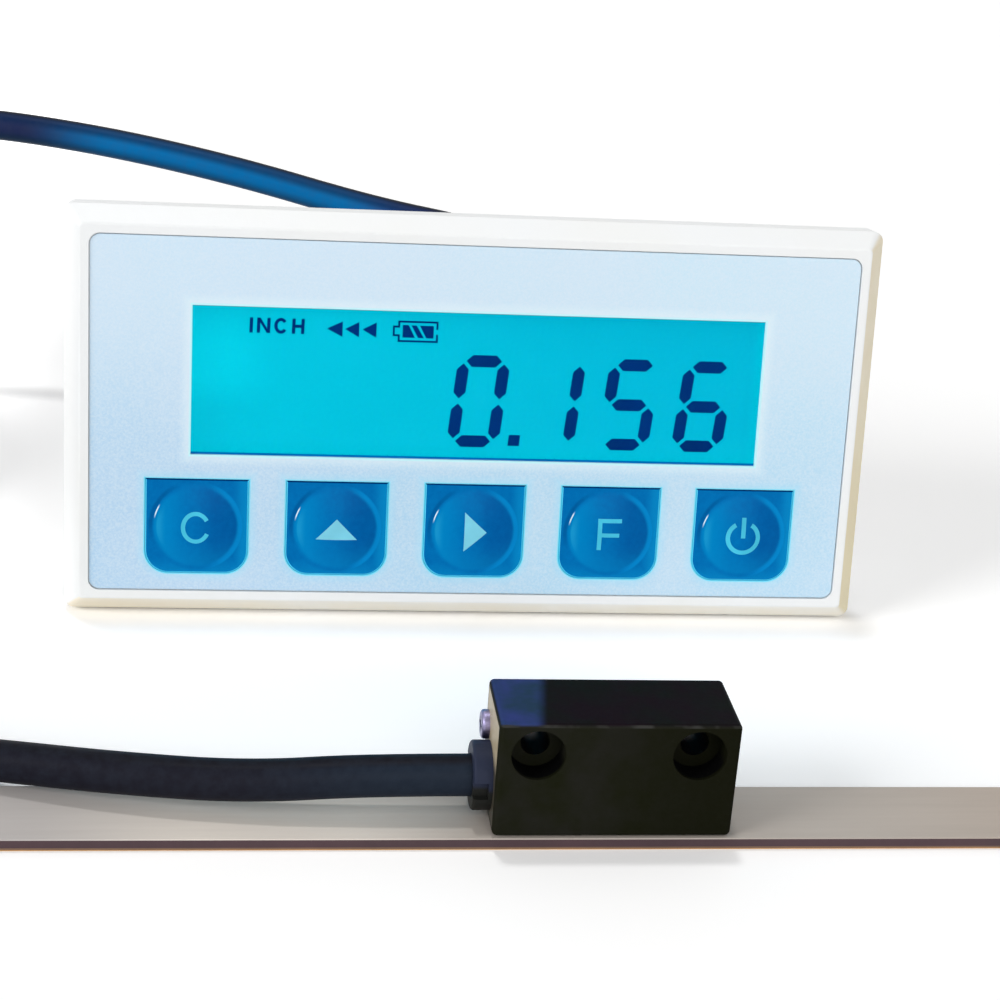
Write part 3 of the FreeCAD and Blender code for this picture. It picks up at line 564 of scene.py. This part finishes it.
def key_cap(name, x, look):
    """Domed cap with a small edge, its flange and its stem, from the dome's top to the stem's end."""
    rim = key_outline(KEY_RIM - KEY_REACH)
    edge = key_outline(-KEY_REACH)
    wider, higher = 1 + 2 * KEY_FLANGE / KEY_WIDTH, 1 + 2 * KEY_FLANGE / KEY_HEIGHT
    flange = [(u * wider, v * higher) for u, v in edge]
    stem = circle(rim, STEM_RADIUS)
    rings = [(circle(rim, radius), dome_depth(radius)) for radius in DOME_RINGS]
    foot = rings[-1][0]
    rings += [([between(a, b, share) for a, b in zip(foot, rim)], KEY_FRONT) for share in (0.4, 0.8)]
    rings += [
        (rim, KEY_FRONT), (edge, KEY_FRONT + KEY_RIM), (edge, KEY_BACK),
        (flange, KEY_BACK), (flange, KEY_BACK + FLANGE_THICK),
        (stem, KEY_BACK + FLANGE_THICK), (stem, STEM_BACK),
    ]
    points = [face_point(x, dome_depth(0.0), KEY_Z)]
    for ring, depth in rings:
        points += [face_point(x + u, depth, KEY_Z + v) for u, v in ring]
    count = len(rim)
    faces = [(0, 1 + i, 1 + (i + 1) % count) for i in range(count)]
    for k in range(len(rings) - 1):
        near, far = 1 + k * count, 1 + (k + 1) * count
        for i in range(count):
            j = (i + 1) % count
            faces.append((near + i, far + i, far + j, near + j))
    last = 1 + (len(rings) - 1) * count
    faces.append(tuple(last + i for i in reversed(range(count))))
    made = piece("cap_" + name, points, faces, look, name + "_key", sharp=40)
    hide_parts("key_" + name)


class Sign:
    """Flat marks made of patches in x and z, laid on a surface."""

    def __init__(self):
        self.points, self.faces = [], []

    def patch(self, rows):
        """A patch given as rows of as many points."""
        start, wide = len(self.points), len(rows[0])
        for row in rows:
            self.points += row
        for i in range(len(rows) - 1):
            for j in range(wide - 1):
                a = start + i * wide + j
                self.faces.append((a, a + 1, a + wide + 1, a + wide))

    def bar(self, a, b, c, d, steps=8):
        """A four-sided patch between two sides, a to b and d to c."""
        rows = []
        for i in range(steps + 1):
            left, right = between(a, b, i / steps), between(d, c, i / steps)
            rows.append([between(left, right, k / steps) for k in range(steps + 1)])
        self.patch(rows)

    def box(self, x0, x1, z0, z1, steps=8):
        """An upright oblong."""
        self.bar((x0, z0), (x1, z0), (x1, z1), (x0, z1), steps)

    def ring(self, x, z, rx, rz, stroke, first, last, steps=48):
        """Part of an oval ring, by angle from the right."""
        rows = []
        for i in range(steps + 1):
            angle = math.radians(first + (last - first) * i / steps)
            inward = [stroke * k / 2 for k in range(3)]
            rows.append([(x + (rx - d) * math.cos(angle), z + (rz - d) * math.sin(angle)) for d in inward])
        self.patch(rows)

    def hexagon(self, x, z, length, thick, upright, slant):
        """A pointed bar of a seven-part digit; slant is how far x moves for each unit of z."""
        half, tip = length / 2, thick / 2
        outline = [(-half, 0), (-half + tip, tip), (half - tip, tip),
                   (half, 0), (half - tip, -tip), (-half + tip, -tip)]
        start = len(self.points)
        for u, v in outline:
            a, b = (v, u) if upright else (u, v)
            self.points.append((x + a + slant * (z + b), z + b))
        self.faces.append(tuple(start + i for i in range(len(outline))))

    def lay(self, name, look, body, depth, slot):
        """Makes the piece, with depth giving y at each x and z; the faces look to the front."""
        points = [face_point(x, depth(x, z), z) for x, z in self.points]
        made = piece(name, points, self.faces, look, body, smooth=False)
        front = FACE.to_3x3() @ Vector((0, -1, 0))
        for polygon in made.data.polygons:
            if polygon.normal.dot(front) < 0:
                polygon.flip()
        return made


DIGITS = {"0": "abcdef", "1": "bc", "5": "acdfg", "6": "acdefg"}
DIGIT_PITCH, FIRST_DIGIT_X, DIGIT_MIDDLE = 9.01, 0.72, 2.62
SEGMENT_LENGTH, SEGMENT_THICK = 4.2, 1.42
SLANT = 0.097
LCD_FRONT, LENS_FRONT = 2.4, 0.6

# The panel lies 2 mm behind the plane that its signs were measured on
BEHIND, BEHIND_X, BEHIND_Z = 1.0082, -0.36, -0.44

# How far signs stand in front of what they are laid on, and the height of the window's edge lines
READING_LIFT, EDGE_LIFT, LEGEND_LIFT = 0.03, 0.02, 0.015
LOWER_LINE, UPPER_LINE = 0.28, 0.12


def reading(look):
    """The lit parts of the liquid crystal: four digits, a point, the unit, arrows and a battery."""
    sign = Sign()
    wide, high = 2.4, 4.82
    places = {"a": (0, high, False), "g": (0, 0, False), "d": (0, -high, False),
              "f": (-wide, high / 2, True), "b": (wide, high / 2, True),
              "e": (-wide, -high / 2, True), "c": (wide, -high / 2, True)}
    for i, digit in enumerate("0156"):
        for part in DIGITS[digit]:
            u, v, upright = places[part]
            x = FIRST_DIGIT_X + i * DIGIT_PITCH + u
            sign.hexagon(x, v, SEGMENT_LENGTH, SEGMENT_THICK, upright, SLANT)
    sign.bar((5.13 - 0.7, -5.28), (5.13 + 0.66, -5.28), (5.2 + 0.7, -3.95), (5.2 - 0.66, -3.95), 1)
    sign.points = [(x, z + DIGIT_MIDDLE) for x, z in sign.points]

    low, high, stroke, lean = 10.06, 11.83, 0.38, 0.04
    middle = (low + high) / 2
    sign.bar((-26.24, low), (-26.24 + stroke, low), (-26.2 + stroke, high), (-26.2, high), 1)
    for x in (-25.4, -24.24):
        sign.bar((x, low), (x + stroke, low), (x + stroke + lean, high), (x + lean, high), 1)
    sign.bar((-25.36, high), (-24.24, low), (-23.88, low), (-24.98, high), 1)
    sign.ring(-22.63, middle, 0.77, 0.93, stroke, 36, 324, 28)
    for x in (-21.37, -20.32):
        sign.bar((x, low), (x + stroke, low), (x + stroke + lean, high), (x + lean, high), 1)
    sign.box(-21.2, -20.2, middle - stroke / 2, middle + stroke / 2, 1)

    for x, wide in ((-17.35, 1.83), (-15.23, 1.63), (-13.22, 1.63)):
        sign.bar((x, 10.79), (x + wide, 9.86), (x + wide, 11.67), (x, 10.79), 1)

    line, left, right, bottom, top = 0.23, -9.1, -4.4, 9.45, 11.97
    sign.box(left, right, bottom, bottom + line, 1)
    sign.box(left, right, top - line, top, 1)
    sign.box(left, left + line, bottom, 10.34, 1)
    sign.box(left, left + line, 11.15, top, 1)
    sign.box(left - 0.6, left + line, 11.14, 11.14 + line, 1)
    sign.box(left - 0.6, left + line, 10.12, 10.12 + line, 1)
    sign.box(left - 0.6, left - 0.6 + line, 10.12, 11.37, 1)
    sign.box(right - line, right, bottom, 10.43, 1)
    sign.box(right - line, right, 11.0, top, 1)
    sign.bar((-8.55, 9.99), (-7.1, 9.99), (-7.86, 11.46), (-8.55, 11.46), 1)
    sign.bar((-6.72, 9.98), (-6.05, 9.98), (-6.94, 11.44), (-7.55, 11.44), 1)
    sign.bar((-5.77, 9.97), (-4.93, 9.97), (-4.93, 11.43), (-6.56, 11.43), 1)
    sign.points = [(x * BEHIND + BEHIND_X, z * BEHIND + BEHIND_Z) for x, z in sign.points]
    sign.lay("reading", look, "instrument", lambda x, z: LCD_FRONT - READING_LIFT, "display_glass")


def window_edge_shades(low, high):
    """Dark lines of painted shade where the window's lower and upper edges show through the lens."""
    left, right = WINDOW_X - WINDOW_WIDTH / 2, WINDOW_X + WINDOW_WIDTH / 2
    bottom, top = WINDOW_Z - WINDOW_HEIGHT / 2, WINDOW_Z + WINDOW_HEIGHT / 2
    front = LENS_FRONT - EDGE_LIFT
    lines = (("low", low, bottom, bottom + LOWER_LINE), ("high", high, top - UPPER_LINE, top))
    for name, look, z0, z1 in lines:
        sign = Sign()
        sign.box(left, right, z0, z1)
        sign.lay("window_edge_" + name, look, "instrument", lambda x, z: front, "display_glass")


def legends(thin, broad):
    """The marks printed on the keys' domes, the arrows in a paler print."""
    signs = {name: Sign() for name, _ in KEYS}
    signs["clear"].ring(-0.1, 0, 1.72, 1.93, 0.5, 30, 334)
    signs["up"].bar((-2.45, -1.2), (2.45, -1.2), (0.03, 1.3), (-0.03, 1.3), 14)
    signs["right"].bar((-1.2, -2.42), (-1.2, 2.42), (1.45, 0.03), (1.45, -0.03), 14)
    signs["function"].box(-1.5, -0.98, -1.95, 1.95)
    signs["function"].box(-0.98, 1.4, 1.45, 1.95)
    signs["function"].box(-0.98, 1.15, -0.32, 0.18)
    signs["power"].ring(0, -0.12, 2.13, 2.13, 0.54, 121, 419, 60)
    signs["power"].box(-0.27, 0.27, -0.15, 2.4)
    for name, x in KEYS:
        sign = signs[name]
        sign.points = [(x + u, KEY_Z + v) for u, v in sign.points]
        look = broad if name in ("up", "right") else thin
        sign.lay("legend_" + name, look, name + "_key",
                 lambda px, pz, x=x: dome_depth(math.hypot(px - x, pz - KEY_Z)) - LEGEND_LIFT, "key_blue")


# Cable

CABLE_DIAMETER = 0.0043

# The coil, in millimetres: centre, radius of its middle turn, height of the lower layer, how far a layer lies
# above the one below it in cable diameters, and the rise over a place where a lower turn changes its lane
COIL_X, COIL_Y, COIL_RADIUS = -95.0, 50.011, 23.5
COIL_LOW, COIL_LAYER, COIL_RISE = 2.65, 0.87, 0.65
COIL_STEP = 22.75  # degrees between the curve's points


def coil_turns():
    """Five turns, two above and three below, from the strand that comes in on top to the outer one below."""
    wide = CABLE_DIAMETER / MM
    low = COIL_LOW
    high = low + COIL_LAYER * wide
    over = high + COIL_LAYER * wide
    risen = high + COIL_RISE
    # Angle in degrees, place between the turns in cable diameters, height
    stations = [
        (165, -0.1, over + 1.2), (200, -0.1, over + 0.9), (240, 0.0, over + COIL_RISE),
        (285, 0.25, over - 0.2), (315, 0.5, high), (510, 0.5, high), (530, 0.5, risen), (560, 0.5, risen),
        (580, 0.5, high),
        (600, 0.5, high), (640, -0.5, high), (870, -0.5, high), (885, -0.5, risen), (915, -0.5, risen),
        (925, -0.5, high), (960, -1.0, low), (1240, -1.0, low), (1280, 0.0, low), (1600, 0.0, low),
        (1640, 1.0, low), (1985, 1.0, low),
    ]
    count = round((stations[-1][0] - stations[0][0]) / COIL_STEP)
    swell = 1 / math.cos(math.radians(COIL_STEP / 2))
    points = []
    for i in range(count + 1):
        angle = stations[0][0] + (stations[-1][0] - stations[0][0]) * i / count
        k = max(j for j in range(len(stations) - 1) if stations[j][0] <= angle or j == 0)
        start, end = stations[k], stations[k + 1]
        _, lane, height = between(start, end, min(1.0, (angle - start[0]) / (end[0] - start[0])))
        radius = (COIL_RADIUS + wide * lane) * swell
        turn = math.radians(angle)
        points.append((COIL_X + radius * math.cos(turn), COIL_Y + radius * math.sin(turn), height))
    return points


def cable(look):
    """One cable, from the display's board over the back into the coil, then to the head."""
    route = [
        (20.5, 24.02, 32.45),
        (20.5, 53.53, 28.3),
        (14.8, 65.5, 28.9),
        (6.0, 74.0, 29.8),
        (-8.7, 78.5, 31.2),
        (-29.1, 84.0, 35.2),
        (-50.5, 89.5, 37.9),
        (-71.8, 92.0, 39.4),
        (-91.5, 89.5, 33.0),
        (-107.5, 78.7, 20.6),
        (-116.2, 65.2, 13.3),
    ]
    route += coil_turns()
    route += [
        (-117.0, 31.0, 2.4),
        (-108.5, 20.0, 2.2),
        (-98.5, 5.0, 2.2),
        (-89.0, -11.0, 2.2),
        (-77.0, -23.2, 2.2),
        (-63.9, -30.7, 2.5),
        (-51.0, -35.1, 3.7),
        (-39.0, -38.7, 4.35),
        (-26.4, -40.7, 4.55),
        (-14.1, -40.99, 5.6),
        (-0.6, -40.99, 5.6),
    ]
    data = bpy.data.curves.new("cable", "CURVE")
    data.dimensions = "3D"
    line = data.splines.new("NURBS")
    line.points.add(len(route) - 1)
    for point, (x, y, z) in zip(line.points, route):
        point.co = (x * MM, y * MM, z * MM, 1)
    line.order_u = 3
    line.use_endpoint_u = True
    line.resolution_u = 8
    data.bevel_depth = CABLE_DIAMETER / 2
    data.bevel_resolution = 6
    data.use_fill_caps = True
    data.materials.append(look.material)
    made = bpy.data.objects.new("cable", data)
    bpy.context.scene.collection.objects.link(made)
    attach(made, "instrument")
    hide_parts("display_cable", "cable_coil", "head_cable")


def cable_jacket():
    """Dark jacket with painted light and shade: a painted blue sheen along the middle of the stretch behind
    the display, painted shade on that stretch's top, underside and upper back side, and on the top of the
    front stretch.
    """
    look = Look("cable_jacket", colour(30, 31, 40), 0.42, specular_ior_level=0.04)
    grain = look.ramp(look.noise(900, 4, 0.6), (0.35, 0.0), (0.7, 1.0))
    front = look.mix(look.along("X", -0.03, -0.01), colour(27, 27, 36), colour(30, 38, 50))
    # Painted shade: darker on the front stretch's top
    front = look.mix(look.facing("Z", 0.75, 0.98), front, colour(18, 18, 26))
    # Painted reflection: a blue sheen on the stretch behind the display, dark at its left end and violet at
    # its right
    sheen = look.mix(look.along("X", -0.060, -0.046), colour(34, 44, 82), colour(4, 108, 172))
    sheen = look.mix(look.along("X", -0.014, -0.001), sheen, colour(44, 50, 112))
    # Painted shade: darker teal on the underside, a dark navy band on the top, and near black on the upper
    # back side
    back = look.mix(look.facing("Z", 0.0, -0.8), sheen, look.mix(0.7, sheen, colour(2, 44, 66)))
    back = look.mix(look.both(look.facing("Z", 0.25, 0.75), 0.75), back, colour(8, 36, 74))
    painted_shade_away = look.both(look.facing("Y", -0.6, -0.02), look.facing("Z", 0.0, 0.3))
    back = look.mix(painted_shade_away, back, colour(4, 8, 20))
    behind = look.both(look.along("Y", 0.03, 0.06), look.along("Z", 0.012, 0.024))
    shade = look.mix(behind, front, back)
    look.base(look.mix(look.both(grain, 0.12), shade, colour(60, 70, 84)))
    look.rough(grain, 0.36, 0.5)
    return look.bump(look.noise(1500, 4), 0.00002)


def head_plastic():
    """Black moulding with olive and violet patches, a painted blue reflection on the top's left end, a
    painted highlight on the front top edge, bores painted black where shade falls, and a metal patch deep in
    each bore that gives a grey glint.
    """
    look = Look("head_black", colour(28, 30, 20), 0.42, specular_ior_level=0.01)
    patches = look.ramp(look.noise(170, 3, 0.6), (0.38, 0.0), (0.62, 1.0))
    front = look.mix(patches, colour(24, 26, 12), colour(31, 31, 26))
    front = look.mix(look.along("X", 0.004, 0.020), front, colour(19, 20, 8))
    violet = look.mix(patches, colour(13, 16, 13), colour(21, 12, 20))
    # Painted reflection: the top turns blue towards its left end
    slant = look.maths("MULTIPLY", look.maths("SUBTRACT", look.part(look.place, "Y"), HEAD_FRONT), -0.14)
    end = look.maths("ADD", look.part(look.place, "X"), slant)
    end = look.fade(end, HEAD_LEFT + 0.0047, HEAD_LEFT + 0.0033)
    top = look.mix(look.both(end, 0.92), violet, look.mix(patches, colour(38, 62, 88), colour(52, 66, 126)))
    raised = look.both(look.facing("Z", 0.5, 0.9), look.along("Z", HEAD_TOP - 0.0012, HEAD_TOP - 0.0007))
    shade = look.mix(raised, front, top)
    # Painted highlight: a broken grey line along the rounded front top edge
    painted_edge_highlight = look.both(look.facing("Z", 0.3, 0.5), look.facing("Z", 0.92, 0.8), look.facing("Y", -0.2, -0.4),
                     look.ramp(look.noise(420, 2), (0.5, 0.15), (0.68, 1.0)))
    shade = look.mix(painted_edge_highlight, shade, colour(56, 56, 54))
    low = look.along("Z", HEAD_TOP - 0.0008, HEAD_TOP - 0.0012)
    # Painted shadow: black on the upward-facing walls within the bores
    painted_bore_shadow = look.both(look.along("Y", HEAD_FRONT + 0.0002, HEAD_FRONT + 0.0006),
                       look.facing("Z", 0.05, 0.5), low)
    shade = look.mix(painted_bore_shadow, shade, colour(3, 3, 4))
    # A patch deep in each bore is made metal, so that its reflection gives a grey glint
    deep = look.both(look.along("Y", HEAD_FRONT + 0.0052, HEAD_FRONT + 0.0085),
                     look.facing("Z", 0.7, 0.98), low)
    shade = look.mix(deep, shade, colour(160, 116, 100))
    look.link(deep, look.shader.inputs["Metallic"])
    look.base(look.mix(look.both(look.noise(2600, 3), 0.12), shade, colour(52, 52, 50)))
    look.rough(patches, 0.36, 0.5)
    return look.bump(look.noise(1800, 4), 0.00001)


def end_plate():
    """Brass end plate with painted light and shade: pale above the gland, dark below it."""
    look = Look("end_plate_metal", colour(168, 146, 118), 0.4, specular_ior_level=0.2)
    fine = look.noise(2000, 4, 0.6)
    cloud = look.ramp(look.noise(300, 3), (0.35, 0.0), (0.7, 1.0))
    pale = look.mix(cloud, colour(176, 160, 128), colour(190, 176, 150))
    # Painted light above the gland and painted shade below it
    shade = look.mix(look.along("Z", GLAND_Z + 0.002, GLAND_Z + 0.0042), colour(58, 55, 46), pale)
    look.base(look.mix(look.both(fine, 0.15), shade, colour(120, 110, 92))).rough(fine, 0.34, 0.46)
    return look.bump(fine, 0.00001)


def gland_plastic():
    """Black moulding with a painted slate sheen on its upper half."""
    look = Look("gland_plastic", colour(30, 33, 42), 0.5, specular_ior_level=0.1)
    fine = look.noise(2000, 4, 0.6)
    # Painted sheen: slate blue on the upper half
    upper = look.along("Z", GLAND_Z - 0.0002, GLAND_Z + 0.0004)
    shade = look.mix(upper, colour(30, 31, 28), colour(40, 46, 66))
    look.base(look.mix(look.both(fine, 0.2), shade, colour(22, 24, 28))).rough(fine, 0.42, 0.56)
    return look.bump(fine, 0.00001)


def scale_steel():
    """Brushed cover strip, with painted light making it palest left of the head, and warmer at the right."""
    look = Look("cover_steel", colour(178, 172, 168), 0.42, specular_ior_level=0.2)
    # Painted light: paler left of the head, where the front cable's shadow falls
    shade = look.mix(look.along("X", -0.050, -0.030), colour(192, 187, 184), colour(228, 220, 210))
    shade = look.mix(look.along("X", -0.018, 0.0), shade, colour(184, 175, 166))
    shade = look.mix(look.along("X", 0.03, 0.07), shade, colour(178, 162, 148))
    streaks = look.ramp(look.noise(900, 4, 0.6, (0.06, 1, 1)), (0.35, 0.0), (0.65, 1.0))
    shade = look.mix(look.both(streaks, 0.10), shade, colour(150, 142, 136))
    look.base(shade).rough(streaks, 0.36, 0.5)
    return look.bump(look.noise(1400, 4, 0.6, (0.06, 1, 1)), 0.000006)


camera()
stage()

dress(white_plastic(), "front_bezel")
dress(printed_film(), "face_sheet")
dress(clear_plastic(), "window_lens")
dress(lit_glass(), "lcd_front_glass")
dress(plain("glass_edge", colour(150, 190, 200), 0.2), "lcd_rear_glass")
dress(plain("light_guide", colour(225, 240, 245), 0.4), "backlight")
dress(plain("board_green", colour(24, 88, 48), 0.45), "main_board", "sensor_board")
dress(plain("connector_ivory", colour(228, 222, 204), 0.5), "board_connector", "sensor_connector")
dress(plain("switch_black", colour(34, 34, 36), 0.5), *["switch_" + name for name, _ in KEYS])
dress(plain("plunger_white", colour(226, 226, 222), 0.45), *["plunger_" + name for name, _ in KEYS])
dress(plain("case_plastic", colour(238, 239, 238), 0.42, contrast=0.02), "rear_case", "battery_door")
dress(plain("screw_steel", colour(190, 190, 192), 0.3, metallic=1.0),
      "board_screws", "case_screws", "door_screw")
dress(plain("contact_steel", colour(196, 192, 180), 0.3, metallic=1.0), "battery_contacts")
dress(plain("cell_jacket", colour(52, 66, 84), 0.35), "upper_cell", "lower_cell")
dress(plain("soft_rubber", colour(30, 31, 33), 0.7), "case_gasket", "strain_relief")
dress(head_plastic(), "head_housing")
dress(end_plate(), "head_end_plate")
dress(plain("end_screw", colour(140, 134, 166), 0.36, metallic=1.0), "head_end_screw")
dress(gland_plastic(), "head_gland")
dress(plain("chip_black", colour(24, 24, 26), 0.5), "sensor_chip", "sensor_wires")
dress(plain("adhesive", colour(196, 150, 96), 0.6), "scale_adhesive")
dress(plain("carrier_steel", colour(120, 92, 70), 0.4), "scale_carrier")
dress(plain("magnetic_rubber", colour(66, 44, 50), 0.6), "scale_magnet")
dress(scale_steel(), "scale_cover")
dress(plain("tie_strap", colour(38, 38, 42), 0.6), "coil_tie")

blue = key_rubber()
for key, key_x in KEYS:
    key_cap(key, key_x, blue)
legends(plain("legend_cyan", colour(72, 196, 226), 0.45, specular_ior_level=0.05),
        plain("legend_pale", colour(126, 208, 230), 0.45, specular_ior_level=0.05))
# Painted shade along the window's edges, blue below and teal above
window_edge_shades(plain("painted_edge_shade_blue", colour(0, 112, 182), 0.4, specular_ior_level=0.0),
             plain("painted_edge_shade_teal", colour(0, 140, 168), 0.4, specular_ior_level=0.0))
reading(plain("segment_navy", colour(0, 50, 124), 0.35, specular_ior_level=0.0))
cable(cable_jacket())
